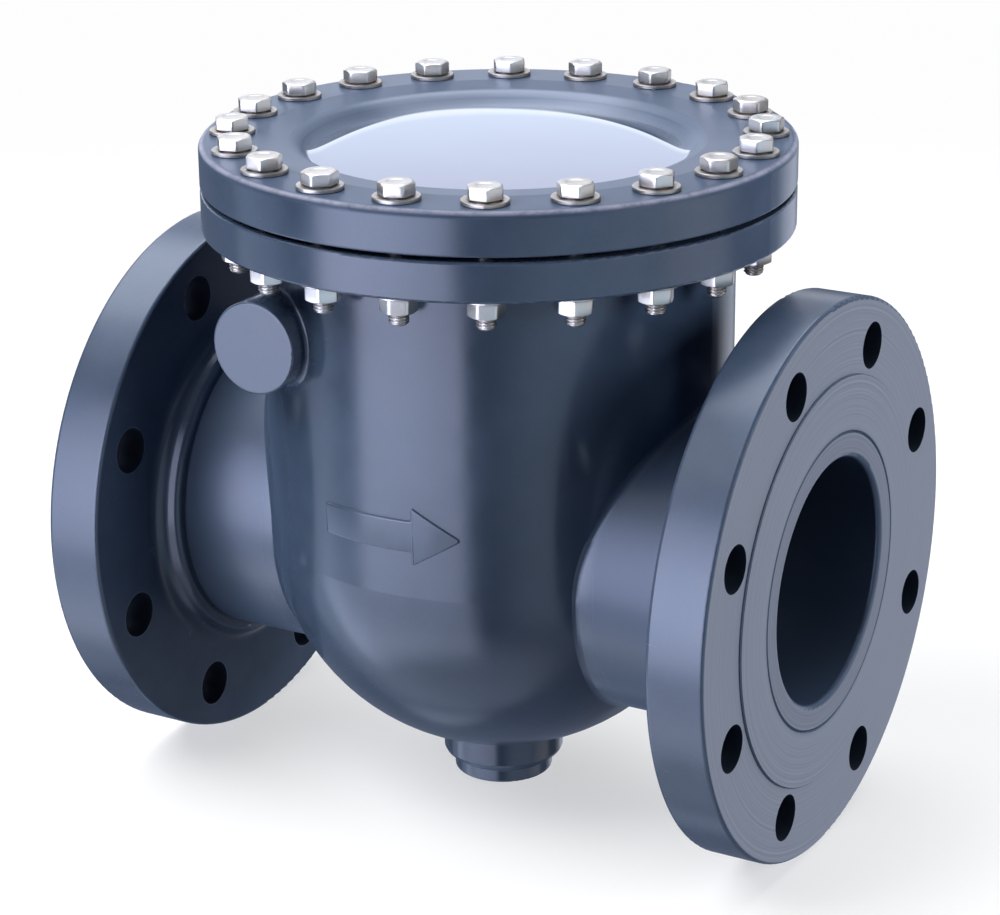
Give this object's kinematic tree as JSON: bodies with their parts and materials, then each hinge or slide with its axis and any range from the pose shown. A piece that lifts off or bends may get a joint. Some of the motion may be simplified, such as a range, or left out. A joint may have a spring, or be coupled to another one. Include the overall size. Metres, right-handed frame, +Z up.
{
  "type": "check valve",
  "caption": "Flanged plastic swing check valve with a bolted round bonnet, a hinged disc inside, round bottom and pipe flanges at both ends.",
  "frame": {"origin": "centre of the inlet face, on the flow axis", "axes": "+X downstream along the flow axis, +Z up through the bonnet, -Y the side with the blind hinge boss"},
  "size_m": [0.3, 0.24, 0.2862],
  "materials": {
    "pvc_moulded": "moulded dark blue-grey PVC, semi-gloss",
    "pvc_flange": "dark blue-grey PVC with a finely turned face",
    "pvc_internal": "machined dark grey PVC",
    "stainless": "bright stainless fasteners",
    "shaft_steel": "turned stainless bar",
    "epdm": "black EPDM rubber",
    "ptfe": "white PTFE"
  },
  "bodies": {
    "valve": {"valve_body": "pvc_moulded", "inlet_flange": "pvc_flange", "outlet_flange": "pvc_flange", "bonnet": "pvc_moulded", "bonnet_bolts": "stainless", "bolt_washers": "stainless", "nut_washers": "stainless", "bonnet_nuts": "stainless", "bonnet_gasket": "epdm", "seat_ring": "pvc_internal", "seat_oring": "epdm", "bush_front": "ptfe", "bush_rear": "ptfe", "spacer_front": "ptfe", "spacer_rear": "ptfe", "hinge_plug": "pvc_internal", "hinge_plug_oring": "epdm", "drain_plug": "pvc_internal", "drain_plug_oring": "epdm"},
    "swing": {"hinge_shaft": "shaft_steel", "swing_arm": "pvc_internal", "arm_pin": "shaft_steel", "stop_bumper": "epdm"},
    "disc_set": {"disc": "pvc_internal", "disc_seal": "epdm", "disc_retainer": "pvc_internal", "disc_stud": "shaft_steel", "stud_washer": "stainless", "stud_nut": "stainless", "cotter_pin": "stainless"}
  },
  "joints": [
    {"name": "disc_swing", "type": "hinge", "parent": "valve", "child": "swing", "pos_m": [0.095, 0, 0.094], "axis": [0, -1, 0], "range_deg": [0, 60]},
    {"name": "disc_spin", "type": "hinge", "parent": "swing", "child": "disc_set", "pos_m": [0.1, 0, 0], "axis": [1, 0, 0], "continuous": true}
  ]
}
